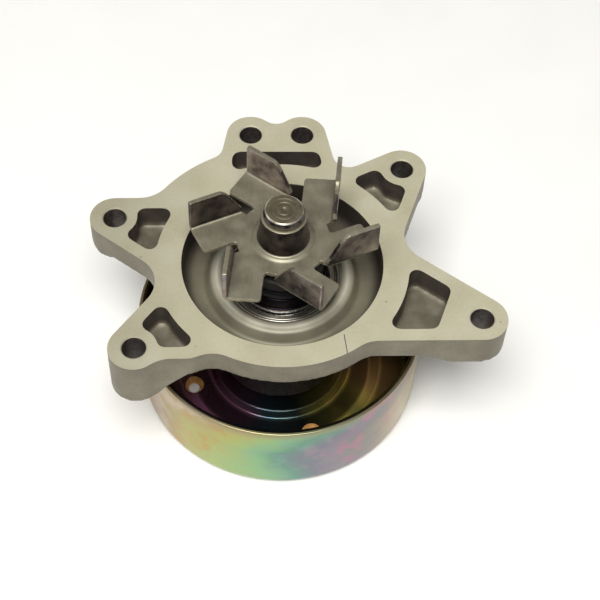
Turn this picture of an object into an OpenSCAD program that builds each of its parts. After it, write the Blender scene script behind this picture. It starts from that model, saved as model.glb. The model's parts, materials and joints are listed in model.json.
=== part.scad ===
// Engine water pump: a die-cast housing with six bolt lobes, a pressed-steel
// impeller and a deep-drawn belt pulley on one bearing shaft.
// Origin: pump axis at the gasket face. +Z points from the gasket face into the
// engine, +Y towards the pair of neighbouring bolt lobes.

/* [Gasket flange] */
// Width of the gasket face around the chamber
rim_w = 7.4; // [6.5:0.1:9]
// Thickness of the flange's outer edge
flange_t = 8.7; // [7.5:0.1:11]
// Radius of each bolt lobe
lobe_r = 7.6; // [6.5:0.1:9]
// Radius of each bolt hole
bolt_hole_r = 3.5; // [2.7:0.1:4.4]
// Radius of the rounded inner corners of the outline
outline_fillet = 10; // [6:0.5:12]
// Thickness of the floor under the lightening pockets
pocket_floor = 2.4; // [1.6:0.1:4]
// Wall between a pocket and the outline
pocket_wall = 4; // [3:0.1:5]
// Wall between a pocket and the impeller chamber
pocket_inner_wall = 8; // [6:0.1:9]
// Radius of a pocket's corners
pocket_corner = 2.4; // [1:0.1:3]

/* [Chamber] */
// Radius of the impeller chamber
chamber_r = 30; // [27:0.1:33]
// Depth of the chamber's floor
chamber_depth = 9.4; // [8:0.1:10]
// Depth of the lip's crest
lip_depth = 5.9; // [5:0.1:7]

/* [Bearing] */
// Radius of the shaft inside the bearing
journal_r = 8; // [7:0.1:9]
// Wall of the bearing sleeve over the rollers
sleeve_wall = 2.36; // [1.8:0.01:3]
// Space between the seal and the bearing, where the weep hole is
drain_gap = 3; // [2.6:0.1:5]
// Radius of one bearing ball
ball_r = 3.17; // [2.6:0.01:3.5]
// Radius of one bearing roller
roller_r = 2.3; // [2:0.05:2.7]
// Length of one bearing roller
roller_len = 9; // [7:0.5:11]
// Space between the cage of balls and the cage of rollers
cage_gap = 2.66; // [1.5:0.01:6]
// Wall of the cast bearing nose
nose_wall = 4.5; // [3.5:0.1:5.5]

/* [Shaft and impeller] */
// Step from the shaft's bearing part down to its impeller end
shaft_step = 2; // [1.6:0.1:2.6]
// Height of the shaft's end above the gasket face
shaft_top = 24.9; // [23.5:0.1:30]
// Sheet thickness of the impeller
impeller_t = 1.4; // [1:0.1:1.8]
// Height of the impeller plate's upper face
plate_top = 11.9; // [11:0.1:14]
// Number of arms and blades
blade_count = 6; // [4:1:7]
// Gap between a blade's outer corner and the chamber wall
tip_gap = 2.8; // [1.5:0.1:4.5]
// Angle between the fold line and the radius at its tip
blade_sweep = 30; // [24:1:34]
// Height of a blade above the plate
blade_h = 11; // [8:0.1:14]
// Length of a blade along its fold line
blade_len = 16.4; // [14:0.1:18]
// Width of an arm from its fold line to its free edge
arm_w = 9.5; // [7:0.1:10]
// Radius of the impeller's flat hub
hub_plate_r = 13.9; // [13:0.1:15]

/* [Pulley] */
// Radius of the belt surface
pulley_r = 44.5; // [42:0.1:53.5]
// Width of the pulley
pulley_w = 29.7; // [28:0.1:36]
// Sheet thickness of the pulley
pulley_t = 2; // [1.5:0.1:2.6]
// Height of the raised middle of the web
web_rise = 3.3; // [2:0.1:4]
// Radius of each hole in the web
web_hole_r = 3; // [2:0.1:5]
// Distance of the web's holes from the axis
web_hole_pos = 29.5; // [28.5:0.1:34]

/* [Hidden] */
$fn = 96;
eps = 0.01;

// Clearances
run_gap = 0.05;    // between a turning part and the part it runs in
roll_gap = 0.04;   // around a ball or roller
face_gap = 0.9;    // between the bearing sleeve and the pulley hub
ball_space = 0.7;  // least space between two balls or two rollers
cage_room = 1.2;   // between a cage and the bearing seal beside it

core_t = 2.1;             // thickness of the stiffening layer under the flange
core_inset = 2.5;         // how far that layer stands back from the outline

flange_r = chamber_r + rim_w;
body_r = chamber_r + 3;   // cast body below the flange
pocket_depth = flange_t + core_t - pocket_floor;

// Bolt holes: [angle, distance from the chamber's wall, depth of the boss]
boss_d = flange_t + core_t + 1.2;
bolts = [
  [100.455, 21.251, boss_d],
  [81.981, 20.898, boss_d],
  [43.575, 22.590, boss_d],
  [-19.610, 31.677, boss_d],
  [-144.652, 22.719, flange_t + 8.8],
  [161.718, 23.395, flange_t + core_t]
];
holes = [for (b = bolts)
  [(chamber_r + b.y) * cos(b.x), (chamber_r + b.y) * sin(b.x), b.z]];
// Root circle that each arm of the flange springs from: [x, y, inset from the flange]
arm_roots = [
  [2, 0, 9.4],
  [-1, 0, 12.4],
  [15.5, 10.5, 17.4],
  [0.5, -1.5, 10.3],
  [-9, 9, 26.3],
  [0, 0, 12.6]
];
boss_keepout = bolt_hole_r + 3.3;  // radius left solid around a bolt hole
shoulder_r = flange_r + 8.3;       // outer radius of the wall beside the twin lobes
lug_wall = [15, 3.1, 7];  // round end of the thick wall beside the deep lug, from its hole

// Shaft and bearing, as radii
spindle_r = journal_r - shaft_step;
roller_pitch = journal_r + roller_r;
ball_pitch = roller_pitch + 0.15;
race_r = roller_pitch + roller_r + roll_gap;
sleeve_r = race_r + sleeve_wall;
end_seal_t = 1;
end_seal_depth = 0.8;
end_seal_r = race_r + 0.8;
nose_r = sleeve_r + nose_wall;
ball_count = floor(180 / asin((ball_r + ball_space / 2) / ball_pitch));
roller_count = floor(180 / asin((roller_r + ball_space / 2) / roller_pitch));

// Seal seat in the housing
lip_r = sleeve_r + 4.9;
recess_r = lip_r - 2.5;
recess_depth = lip_depth + 3.1;
seal_bore_r = sleeve_r + 0.1;
seal_bore_depth = recess_depth + 6.5;
cavity_r = sleeve_r - 1.9;
weep_r = 1.4;
floor_fillet = min(4.2, chamber_r - lip_r - 3);

// Bearing places, measured from the gasket face
end_room = end_seal_depth + end_seal_t + cage_room;
ball_cage_h = 2 * ball_r + 2;
roller_cage_h = roller_len + 3;
sleeve_top = seal_bore_depth + drain_gap;
ball_z = -(sleeve_top + end_room + ball_cage_h / 2);
roller_z = ball_z - ball_cage_h / 2 - cage_gap - roller_cage_h / 2;
sleeve_bottom = -roller_z + roller_cage_h / 2 + end_room;
nose_bottom = sleeve_bottom - 1;

// Pulley places
pulley_bottom = -(sleeve_bottom + 8.8);
pulley_lip = pulley_bottom + pulley_w;
web_top = pulley_bottom + pulley_t;
web_raised = web_top + web_rise;
hub_top = -(sleeve_bottom + face_gap);
hub_boss_r = journal_r + 3;
hub_flange_r = journal_r + 6.5;

// Mechanical seal: radii shared by the parts that nest in one another
seal_face = 1.2;                // height of the running face
seat_sleeve_r = spindle_r + 0.7;
band_r = spindle_r + 3;         // inside of the inner band
band_t = 0.6;
carbon_r = sleeve_r - 3.4;      // outside of the carbon ring
head_r = carbon_r + 1;          // outside of the rubber around the carbon ring
seat_r = carbon_r - 0.2;        // outside of the hard seat ring
case_t = 0.8;
case_r = seal_bore_r - case_t;  // inside of the case's wall
head_z = -6.4;                  // underside of the head shell, where the spring ends

// ---- Helpers -------------------------------------------------------------

// Points on an arc about c from angle a to angle b
function arc(c, r, a, b, n = 12) =
  [for (i = [0:n]) c + r * [cos(a + (b - a) * i / n), sin(a + (b - a) * i / n)]];

// Two circles and the band between their outer tangents
module link2(p, rp, q, rq) {
  d = norm(q - p);
  a = atan2(q.y - p.y, q.x - p.x);
  b = acos((rp - rq) / d);
  translate(p) circle(rp);
  translate(q) circle(rq);
  polygon([
    p + rp * [cos(a + b), sin(a + b)], p + rp * [cos(a - b), sin(a - b)],
    q + rq * [cos(a - b), sin(a - b)], q + rq * [cos(a + b), sin(a + b)]
  ]);
}

module tube(r_out, r_in, z0, z1) {
  translate([0, 0, z0]) difference() {
    cylinder(r = r_out, h = z1 - z0);
    translate([0, 0, -1]) cylinder(r = r_in, h = z1 - z0 + 2);
  }
}

function hole_xy(i) = [holes[i].x, holes[i].y];

// ---- Housing -------------------------------------------------------------

module arm(i) {
  link2([arm_roots[i].x, arm_roots[i].y], flange_r - arm_roots[i].z, hole_xy(i), lobe_r);
}

// Wall between the twin lobes and the left lobe
module shoulder() {
  intersection() {
    circle(shoulder_r);
    polygon([[0, 0], hole_xy(0) + [-6, 0], hole_xy(5) + [4, lobe_r + 1.5]]);
  }
}

// Flange outline; its inner corners are rounded by growing and shrinking it
module flange_outline() {
  offset(r = -outline_fillet / 2) offset(r = outline_fillet / 2) {
    arm(0);
    arm(1);
    offset(r = -outline_fillet) offset(r = outline_fillet) {
      circle(flange_r);
      shoulder();
      for (i = [2:5]) arm(i);
      wall = hole_xy(4) + [lug_wall.x, lug_wall.y];
      link2(wall, lug_wall.z, wall - [12, 0], lug_wall.z);
    }
  }
}

// Half-plane of points p with n.p < d
module half_plane(n, d) {
  rotate(atan2(n.y, n.x)) translate([d - 200, -100]) square([200, 200]);
}

// Region that holds each pocket, placed from the bolt hole beside it
module pocket_region(i) {
  if (i == 0) intersection() {
    translate(hole_xy(0) + [-5.9, -20.4]) square([31, 13.2]);
    half_plane([0.977, 0.21], 21);
  }
  if (i == 1) translate(hole_xy(2) + [-8.1, -7.25]) circle(13);
  if (i == 2) intersection() {
    translate(hole_xy(3) + [-17.1, 7.7]) circle(16);
    half_plane([0.935, -0.354], [0.935, -0.354] * hole_xy(3) - 11.25);
  }
  if (i == 3) translate(hole_xy(4) + [9, 6.5]) circle(12);
  if (i == 4) intersection() {
    translate(hole_xy(5) + [10.7, -3.75]) circle(12);
    half_plane([0, 1], holes[5].y + lobe_r - pocket_wall);
  }
}

// Outline of one pocket, set back from the outline, the chamber and the holes
module pocket(i) {
  offset(r = pocket_corner) offset(delta = -pocket_corner) difference() {
    intersection() {
      offset(delta = -pocket_wall) flange_outline();
      pocket_region(i);
    }
    circle(chamber_r + pocket_inner_wall);
    for (k = [0:5]) translate(hole_xy(k)) circle(boss_keepout);
  }
}

// Chamber, seal seat, drain cavity and bearing bore, as radius and height
module bore_profile() {
  fillet_c = [chamber_r - floor_fillet, -(chamber_depth - floor_fillet)];
  crest_c = [lip_r, -(lip_depth + 1.4)];
  polygon(concat(
    [[0, 1], [chamber_r, 1]],
    arc(fillet_c, floor_fillet, 0, -90),
    [[lip_r + 2.6, -(chamber_depth - 0.9)]],
    arc(crest_c, 1.4, 40, 175),
    [
      [recess_r, -(lip_depth + 2)], [recess_r, -recess_depth],
      [seal_bore_r, -recess_depth], [seal_bore_r, -seal_bore_depth],
      [cavity_r, -seal_bore_depth], [cavity_r, -sleeve_top],
      [sleeve_r, -sleeve_top], [sleeve_r, -(nose_bottom + 1)],
      [0, -(nose_bottom + 1)]
    ]
  ));
}

// Cast body below the flange, down to the bearing nose
module body_profile() {
  polygon(concat(
    [[0, -1], [body_r, -1], [body_r, -(chamber_depth + 1.6)]],
    arc([body_r - 3, -(chamber_depth + 2)], 3, 0, -60, 6),
    arc([nose_r + 4, -(sleeve_top + 7)], 4, 90, 180, 8),
    [[nose_r - 0.4, -nose_bottom], [0, -nose_bottom]]
  ));
}

// Web from the nose to a boss, along the line to hole i
module rib(i) {
  d = norm(hole_xy(i));
  rotate(atan2(holes[i].y, holes[i].x)) rotate([90, 0, 0])
    translate([0, 0, -2]) linear_extrude(4) polygon([
      [nose_r - 2, -flange_t + 1], [d - 4, -flange_t + 1],
      [d - 4, -(flange_t + core_t - 0.6)],
      [body_r, -(flange_t + core_t + 2)], [nose_r - 2, -(sleeve_top + 5)]
    ]);
}

// Deep lug at hole i: the outline carried down, with a slope back to the flange.
// The slope runs from x = near to x = far, on the side of the pump axis.
module deep_lug(i, near, far) {
  lug = holes[i];
  out = lug.x + 12 * sign(lug.x);
  intersection() {
    translate([0, 0, -lug.z]) linear_extrude(lug.z) intersection() {
      flange_outline();
      translate(hole_xy(i) + [-20, -12]) square([40, 17]);
    }
    translate([0, 60, 0]) rotate([90, 0, 0]) linear_extrude(120) polygon([
      [out, 0], [out, -lug.z], [near, -lug.z], [far, -flange_t], [far, 0]
    ]);
  }
}

module pump_housing() {
  color("gainsboro") difference() {
    union() {
      translate([0, 0, -flange_t]) linear_extrude(flange_t) flange_outline();
      translate([0, 0, -(flange_t + core_t)]) linear_extrude(core_t + eps)
        offset(delta = -core_inset) flange_outline();
      for (h = holes)
        translate([h.x, h.y, -h.z]) cylinder(r = lobe_r - 0.1, h = h.z - eps);
      deep_lug(4, holes[4].x + 6.5, holes[4].x + 15.5);
      deep_lug(3, holes[3].x - 9, holes[3].x - 17);
      for (i = [0:5]) rib(i);
      rotate_extrude() body_profile();
    }
    for (i = [0:4])
      translate([0, 0, -pocket_depth]) linear_extrude(pocket_depth + 1) pocket(i);
    for (h = holes) translate([h.x, h.y, -h.z - 10]) cylinder(r = bolt_hole_r, h = h.z + 20);
    rotate_extrude() bore_profile();
    translate([0, 0, -(sleeve_top - weep_r - 0.1)]) rotate([90, 0, 0])
      cylinder(r = weep_r, h = flange_r + 5);
  }
}

// ---- Bearing -------------------------------------------------------------

module bearing_sleeve() {
  color("silver") difference() {
    tube(sleeve_r, race_r, -sleeve_bottom, -sleeve_top);
    translate([0, 0, ball_z]) rotate_extrude()
      translate([ball_pitch, 0]) circle(ball_r + roll_gap);
    for (z = [-sleeve_bottom - 1, -sleeve_top - end_seal_depth - end_seal_t])
      translate([0, 0, z]) cylinder(r = end_seal_r, h = end_seal_depth + end_seal_t + 1);
  }
}

module end_seal(z) {
  color("dimgray") tube(end_seal_r, journal_r + run_gap, z, z + end_seal_t);
}

module bearing_seal_rear() {
  end_seal(-(sleeve_top + end_seal_depth + end_seal_t));
}

module bearing_seal_front() {
  end_seal(-sleeve_bottom + end_seal_depth);
}

module rear_balls() {
  color("lightsteelblue") for (i = [0:ball_count - 1])
    rotate(i * 360 / ball_count) translate([ball_pitch, 0, ball_z]) sphere(ball_r);
}

module front_rollers() {
  color("lightsteelblue") for (i = [0:roller_count - 1])
    rotate(i * 360 / roller_count)
      translate([roller_pitch, 0, roller_z - roller_len / 2])
        cylinder(r = roller_r - roll_gap, h = roller_len);
}

module rear_ball_cage() {
  color("saddlebrown") difference() {
    tube(ball_pitch + 1.2, ball_pitch - 1.2, ball_z - ball_cage_h / 2, ball_z + ball_cage_h / 2);
    for (i = [0:ball_count - 1])
      rotate(i * 360 / ball_count) translate([ball_pitch, 0, ball_z])
        sphere(ball_r + roll_gap);
  }
}

module front_roller_cage() {
  color("saddlebrown") difference() {
    tube(roller_pitch + 1, roller_pitch - 1, roller_z - roller_cage_h / 2, roller_z + roller_cage_h / 2);
    for (i = [0:roller_count - 1])
      rotate(i * 360 / roller_count)
        translate([roller_pitch, 0, roller_z - roller_len / 2 - roll_gap])
          cylinder(r = roller_r, h = roller_len + 2 * roll_gap);
  }
}

// ---- Turning parts ---------------------------------------------------------

module shaft() {
  chamfer = 0.8;
  step = -(sleeve_top - 0.2);
  color("slategray") difference() {
    rotate_extrude() polygon([
      [0, pulley_bottom + 0.3], [journal_r - chamfer, pulley_bottom + 0.3],
      [journal_r, pulley_bottom + 0.3 + chamfer], [journal_r, step - chamfer],
      [journal_r - chamfer, step], [spindle_r, step],
      [spindle_r, shaft_top - chamfer], [spindle_r - chamfer, shaft_top],
      [0, shaft_top]
    ]);
    translate([0, 0, ball_z]) rotate_extrude()
      translate([ball_pitch, 0]) circle(ball_r + roll_gap);
    translate([0, 0, pulley_bottom]) cylinder(r1 = 2.6, r2 = 0.6, h = 3);
  }
}

module slinger() {
  z = seal_bore_depth;
  color("dimgray") rotate_extrude() polygon([
    [spindle_r, -z - 2.1], [spindle_r + 1.6, -z - 2.1], [spindle_r + 4.6, -z - 1.4],
    [spindle_r + 4.6, -z - 0.7], [spindle_r, -z - 0.7]
  ]);
}

// Fold line of one blade in the plane of the plate, tip first
fold_tip = [chamber_r - tip_gap, 0];
fold_dir = [-cos(blade_sweep), -sin(blade_sweep)];
fold_side = [-sin(blade_sweep), cos(blade_sweep)];

module impeller_arm() {
  root = fold_tip + fold_dir * blade_len;
  polygon([
    fold_tip - fold_side * impeller_t,
    fold_tip + fold_side * arm_w + fold_dir * 0.4,
    fold_tip + fold_side * arm_w + fold_dir * 9.5,
    [0, 0],
    root, root - fold_side * impeller_t
  ]);
}

// Blade drawn along its fold line: straight top, then a slope to the root
module impeller_blade() {
  foot = fold_tip - fold_side * impeller_t;
  translate([foot.x, foot.y, plate_top - impeller_t])
    rotate(180 + blade_sweep) rotate([90, 0, 0])
      linear_extrude(impeller_t) polygon([
        [0, 0], [0, impeller_t + blade_h], [blade_len * 0.58, impeller_t + blade_h],
        [blade_len * 0.68, impeller_t + blade_h * 0.9], [blade_len, impeller_t + 1.2],
        [blade_len, 0]
      ]);
}

module impeller() {
  phase = -6.8;
  neck_top = shaft_top - 2.8;
  color("darkgray") difference() {
    union() {
      translate([0, 0, plate_top - impeller_t]) linear_extrude(impeller_t) {
        circle(hub_plate_r);
        for (i = [0:blade_count - 1]) rotate(phase + i * 360 / blade_count) impeller_arm();
      }
      for (i = [0:blade_count - 1]) rotate(phase + i * 360 / blade_count) impeller_blade();
      rotate_extrude() polygon(concat(
        [[spindle_r - 1, plate_top - impeller_t], [spindle_r + 3, plate_top - impeller_t],
         [spindle_r + 3, plate_top]],
        arc([spindle_r + 3, plate_top + 1.2], 1.2, -90, -175, 5),
        [[spindle_r + 0.9, neck_top], [spindle_r - 1, neck_top]]
      ));
    }
    translate([0, 0, -1]) cylinder(r = spindle_r, h = shaft_top + 2);
  }
}

module pulley_hub() {
  color("slategray") difference() {
    union() {
      translate([0, 0, pulley_bottom + 0.3]) cylinder(r = hub_boss_r, h = hub_top - pulley_bottom - 0.3);
      translate([0, 0, web_raised]) cylinder(r = hub_flange_r, h = 1.6);
    }
    translate([0, 0, pulley_bottom - 1]) cylinder(r = journal_r, h = 20);
  }
}

module pulley() {
  wall_c = pulley_r - pulley_t;
  corner = 3;
  slope_r = web_hole_pos - web_hole_r - 3.9;  // foot of the raised middle
  lean = 0.75 * pulley_t;
  crease_r = web_hole_pos + web_hole_r + 0.3;  // outer edge of the step under the holes
  crease = [-3, 0.8];
  color("darkkhaki") difference() {
    rotate_extrude() polygon(concat(
      [[hub_boss_r, web_raised], [hub_boss_r, web_raised - pulley_t],
       [slope_r - 0.9 - lean, web_raised - pulley_t],
       [slope_r - lean, pulley_bottom + crease.y],
       [crease_r + crease.x, pulley_bottom + crease.y], [crease_r, pulley_bottom]],
      arc([pulley_r - corner, pulley_bottom + corner], corner, -90, 0, 8),
      [[pulley_r, pulley_lip - 0.3], [pulley_r - 0.3, pulley_lip], [wall_c, pulley_lip]],
      arc([wall_c - corner + pulley_t, web_top + corner - pulley_t], corner - pulley_t, 0, -90, 6),
      [[crease_r, web_top], [crease_r + crease.x, web_top + crease.y],
       [slope_r, web_top + crease.y], [slope_r - 0.9, web_raised]]
    ));
    for (a = [0:90:270]) rotate(a + 19.6) translate([web_hole_pos, 0, pulley_bottom - 1])
      cylinder(r = web_hole_r, h = pulley_t + crease.y + 2);
  }
}

// ---- Mechanical seal: the half held by the housing -------------------------

module seal_case() {
  rim_r = recess_r - 0.1;
  fold_r = seal_bore_r + 0.9;
  foot = -seal_bore_depth + case_t;
  floor_z = -recess_depth + case_t;
  color("silver") rotate_extrude() polygon([
    [band_r + 0.5, foot], [band_r + 0.5, foot - case_t], [seal_bore_r, foot - case_t],
    [seal_bore_r, -recess_depth], [rim_r, -recess_depth], [rim_r, -recess_depth + 2.4],
    [rim_r - 0.7, -recess_depth + 2.4], [rim_r - 0.7, floor_z], [fold_r, floor_z],
    [fold_r, floor_z + 0.7], [case_r, floor_z + 0.7], [case_r, foot]
  ]);
}

module seal_inner_band() {
  color("silver") tube(band_r + band_t, band_r, -seal_bore_depth + 1.9, -9.5);
}

module seal_bellows() {
  foot = -seal_bore_depth + case_t;
  in_r = band_r + band_t;
  color("black") rotate_extrude() polygon([
    [in_r, foot], [case_r - 0.1, foot], [case_r - 0.1, foot + 1.1],
    [carbon_r - 0.6, foot + 1.1], [carbon_r - 0.6, head_z - 3], [carbon_r + 0.3, head_z - 2],
    [carbon_r - 0.4, head_z - 1], [head_r, head_z], [head_r, head_z + 4.8],
    [carbon_r, head_z + 4.8], [carbon_r, head_z + 1.6], [in_r + 0.3, head_z + 1.6],
    [in_r, head_z - 1]
  ]);
}

// Wire of the spring as one tube swept along its helix
module seal_spring() {
  turns = 3.5;
  rings = 56;
  sides = 6;
  wire = 0.5;
  mean_r = case_r - 1.45;
  z0 = -seal_bore_depth + case_t + 1.1 + wire;
  z1 = head_z - wire;
  points = [for (i = [0:rings]) let (a = 360 * turns * i / rings, z = z0 + (z1 - z0) * i / rings)
    for (k = [0:sides - 1]) let (b = 360 * k / sides, r = mean_r + wire * cos(b))
      [r * cos(a), r * sin(a), z + wire * sin(b)]];
  sides_f = [for (i = [0:rings - 1], k = [0:sides - 1]) let (n = (k + 1) % sides)
    [i * sides + k, (i + 1) * sides + k, (i + 1) * sides + n, i * sides + n]];
  ends = [[for (k = [0:sides - 1]) k], [for (k = [sides - 1:-1:0]) rings * sides + k]];
  color("silver") polyhedron(points, concat(sides_f, ends), 4);
}

module seal_head_shell() {
  color("silver") rotate_extrude() polygon([
    [head_r, head_z], [head_r + 1.4, head_z], [head_r + 1.4, head_z + 0.6],
    [head_r + 0.6, head_z + 0.6], [head_r + 0.6, head_z + 4.8], [head_r, head_z + 4.8]
  ]);
}

module seal_carbon_ring() {
  in_r = band_r - 0.6;
  foot = head_z + 1.6;
  color("black") rotate_extrude() polygon([
    [in_r, foot], [carbon_r, foot], [carbon_r, seal_face - 1.2], [carbon_r - 1, seal_face - 1.2],
    [carbon_r - 1, seal_face], [in_r, seal_face]
  ]);
}

// ---- Mechanical seal: the half that turns with the shaft -------------------

module seat_sleeve() {
  top = seal_face + 5.7;
  color("silver") rotate_extrude() polygon([
    [spindle_r, -12], [seat_sleeve_r, -12], [seat_sleeve_r, top - 0.7],
    [spindle_r + 5, top - 0.7], [spindle_r + 5, top], [spindle_r, top]
  ]);
}

module seat_rubber_cup() {
  top = seal_face + 5;
  in_r = seat_sleeve_r + 1;
  color("black") rotate_extrude() polygon([
    [seat_sleeve_r, seal_face + 0.6], [in_r, seal_face + 0.6], [in_r, top - 1.2],
    [seat_r, top - 1.2], [seat_r, seal_face + 1], [seat_r + 1.2, seal_face + 1],
    [seat_r + 1.2, top - 0.6], [seat_r + 0.6, top], [seat_sleeve_r, top]
  ]);
}

module seat_ring() {
  color("dimgray") tube(seat_r, seat_sleeve_r + 1, seal_face + run_gap, seal_face + 3.8);
}

// ---- Nodes -----------------------------------------------------------------

pump_housing();
bearing_sleeve();
bearing_seal_rear();
bearing_seal_front();
rear_balls();
rear_ball_cage();
front_rollers();
front_roller_cage();
shaft();
slinger();
impeller();
pulley_hub();
pulley();
seal_case();
seal_inner_band();
seal_bellows();
seal_spring();
seal_head_shell();
seal_carbon_ring();
seat_sleeve();
seat_rubber_cup();
seat_ring();
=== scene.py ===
# %% [markdown]
# # An engine water pump
#
# The pump is a die-cast aluminium housing with six bolt lobes. A pressed-steel impeller
# turns in its chamber, and a deep-drawn pulley with yellow zinc plating drives the shaft
# from below. The solid model of the pump is loaded first. It is a fixed frame: the pieces
# made here take their places from it, and every size below is in millimetres.

import json
import math

import bmesh
import bpy
from mathutils import Matrix, Quaternion, Vector


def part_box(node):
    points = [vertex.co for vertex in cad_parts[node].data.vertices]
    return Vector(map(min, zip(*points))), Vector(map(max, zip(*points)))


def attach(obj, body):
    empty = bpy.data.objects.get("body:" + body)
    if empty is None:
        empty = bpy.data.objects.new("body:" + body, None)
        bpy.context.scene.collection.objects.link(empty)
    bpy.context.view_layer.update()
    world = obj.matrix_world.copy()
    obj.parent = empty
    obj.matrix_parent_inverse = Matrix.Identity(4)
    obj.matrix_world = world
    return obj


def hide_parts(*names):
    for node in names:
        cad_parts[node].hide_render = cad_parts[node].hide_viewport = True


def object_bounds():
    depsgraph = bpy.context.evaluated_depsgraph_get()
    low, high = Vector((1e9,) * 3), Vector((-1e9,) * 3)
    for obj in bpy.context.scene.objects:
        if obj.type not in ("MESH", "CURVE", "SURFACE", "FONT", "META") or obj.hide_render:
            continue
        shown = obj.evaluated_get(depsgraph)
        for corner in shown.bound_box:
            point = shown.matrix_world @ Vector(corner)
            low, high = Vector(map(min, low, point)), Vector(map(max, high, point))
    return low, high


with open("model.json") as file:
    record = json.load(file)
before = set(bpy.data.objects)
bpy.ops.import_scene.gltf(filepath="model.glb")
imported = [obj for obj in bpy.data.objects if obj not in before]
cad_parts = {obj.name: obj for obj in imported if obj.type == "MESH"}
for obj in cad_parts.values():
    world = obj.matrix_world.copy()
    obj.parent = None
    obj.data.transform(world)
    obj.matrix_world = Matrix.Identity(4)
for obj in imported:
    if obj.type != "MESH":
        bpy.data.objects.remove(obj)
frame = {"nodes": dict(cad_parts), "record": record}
cad_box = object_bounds()
MM = 0.001

# %% [markdown]
# ## Camera
#
# A long lens of 87 mm stands 0.45 m away and looks down at the impeller from the
# front, turned three degrees about its own axis. A camera can be aimed with a constraint,
# but a plain rotation is easier to read and does not depend on another object.

# %% Camera
camera_data = bpy.data.cameras.new("camera")
camera_data.lens = 86.86
camera_data.sensor_width = 36
camera = bpy.data.objects.new("camera", camera_data)
bpy.context.scene.collection.objects.link(camera)
camera.location = Vector((-11.09, -258.15, 346.82)) * MM
look = Vector((5.82, 0, -20)) * MM - camera.location
camera.rotation_mode = "QUATERNION"
camera.rotation_quaternion = look.to_track_quat("-Z", "Y") @ Quaternion((0, 0, 1), math.radians(2.95))
bpy.context.scene.camera = camera
print("camera looks down by %.1f degrees" % math.degrees(math.asin(-look.normalized().z)))

# %% [markdown]
# ## Small helpers for materials
#
# Colours are written as the hex values that a paint shop would read off a sample, and one
# function turns them into the linear values that the renderer works with. Another adds a
# node: it sets the node's own settings, then fills each input with a number or a link.


# %% Colour and node helpers
def linear(code, alpha=1.0):
    """An sRGB hex colour as linear red, green, blue and alpha."""
    parts = [int(code[i : i + 2], 16) / 255 for i in (1, 3, 5)]
    return [c / 12.92 if c <= 0.04045 else ((c + 0.055) / 1.055) ** 2.4 for c in parts] + [alpha]


def add(tree, kind, inputs=None, stops=None, **settings):
    """A new node with its settings, its inputs as values or links, and any ramp stops."""
    made = tree.nodes.new(kind)
    for key, value in settings.items():
        setattr(made, key, value)
    for key, value in (inputs or {}).items():
        socket = made.inputs[key]
        if isinstance(value, bpy.types.NodeSocket):
            tree.links.new(value, socket)
        else:
            socket.default_value = value
    if stops:
        ramp = made.color_ramp.elements
        while len(ramp) < len(stops):
            ramp.new(1.0)
        for item, (place, colour) in zip(ramp, stops):
            item.position = place
            item.color = linear(colour) if isinstance(colour, str) else [colour] * 3 + [1]
    return made


def material(name, **values):
    """A new material with its shader's plain values set; gives the material and its nodes."""
    made = bpy.data.materials.new(name)
    made.use_nodes = True
    tree = made.node_tree
    shader = tree.nodes["Principled BSDF"]
    for key, value in values.items():
        shader.inputs[key.replace("_", " ")].default_value = value
    place = tree.nodes.new("ShaderNodeTexCoord").outputs["Object"]
    return made, tree, shader, place


def wire(tree, shader, colour, roughness, bump=None):
    """Joins a material's colour, roughness and bump to its shader."""
    tree.links.new(colour, shader.inputs["Base Color"])
    tree.links.new(roughness.outputs["Result"], shader.inputs["Roughness"])
    if bump:
        tree.links.new(bump.outputs["Normal"], shader.inputs["Normal"])


def per_mm(size):
    """Texture scale at which one feature of a noise texture is about this many mm wide."""
    return 1 / (size * MM)


print("linear mid grey", [round(v, 3) for v in linear("#808080")[:3]])

# %% [markdown]
# ## Small helpers for shapes
#
# Most parts of a pump are turned, drawn or cast. A turned part is half of its section,
# swept round the axis. Corners of a real section are never sharp, so each corner of a
# profile carries its own radius. A casting is made here as the foundry does it: a soft
# blank first, and then the machined faces are cut into it.


# %% Shape helpers
def rounded(corners, steps=5):
    """A closed profile of (x, y, radius) corners, with each corner turned into an arc."""
    points = []
    n = len(corners)
    for i, (x, y, r) in enumerate(corners):
        here = Vector((x, y))
        a = Vector(corners[i - 1][:2]) - here
        b = Vector(corners[(i + 1) % n][:2]) - here
        if r <= 0 or a.length < 1e-6 or b.length < 1e-6:
            points.append(here)
            continue
        angle = a.angle(b)
        if angle > math.pi - 0.02:
            points.append(here)
            continue
        cut = min(r / math.tan(angle / 2), a.length * 0.49, b.length * 0.49)
        r = cut * math.tan(angle / 2)
        centre = here + (a.normalized() + b.normalized()).normalized() * (r / math.sin(angle / 2))
        start = here + a.normalized() * cut - centre
        end = here + b.normalized() * cut - centre
        turn = math.atan2(start.x * end.y - start.y * end.x, start.dot(end))
        for k in range(steps + 1):
            c, s = math.cos(turn * k / steps), math.sin(turn * k / steps)
            points.append(centre + Vector((start.x * c - start.y * s, start.x * s + start.y * c)))
    return points


def new_object(name, bm, *materials):
    """An object from a bmesh in millimetres, in the pump's frame."""
    bmesh.ops.remove_doubles(bm, verts=bm.verts, dist=1e-5)
    bmesh.ops.recalc_face_normals(bm, faces=bm.faces)
    bmesh.ops.scale(bm, vec=(MM, MM, MM), verts=bm.verts)
    mesh = bpy.data.meshes.new(name)
    bm.to_mesh(mesh)
    bm.free()
    for item in materials:
        mesh.materials.append(item)
    made = bpy.data.objects.new(name, mesh)
    bpy.context.scene.collection.objects.link(made)
    return made


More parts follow.
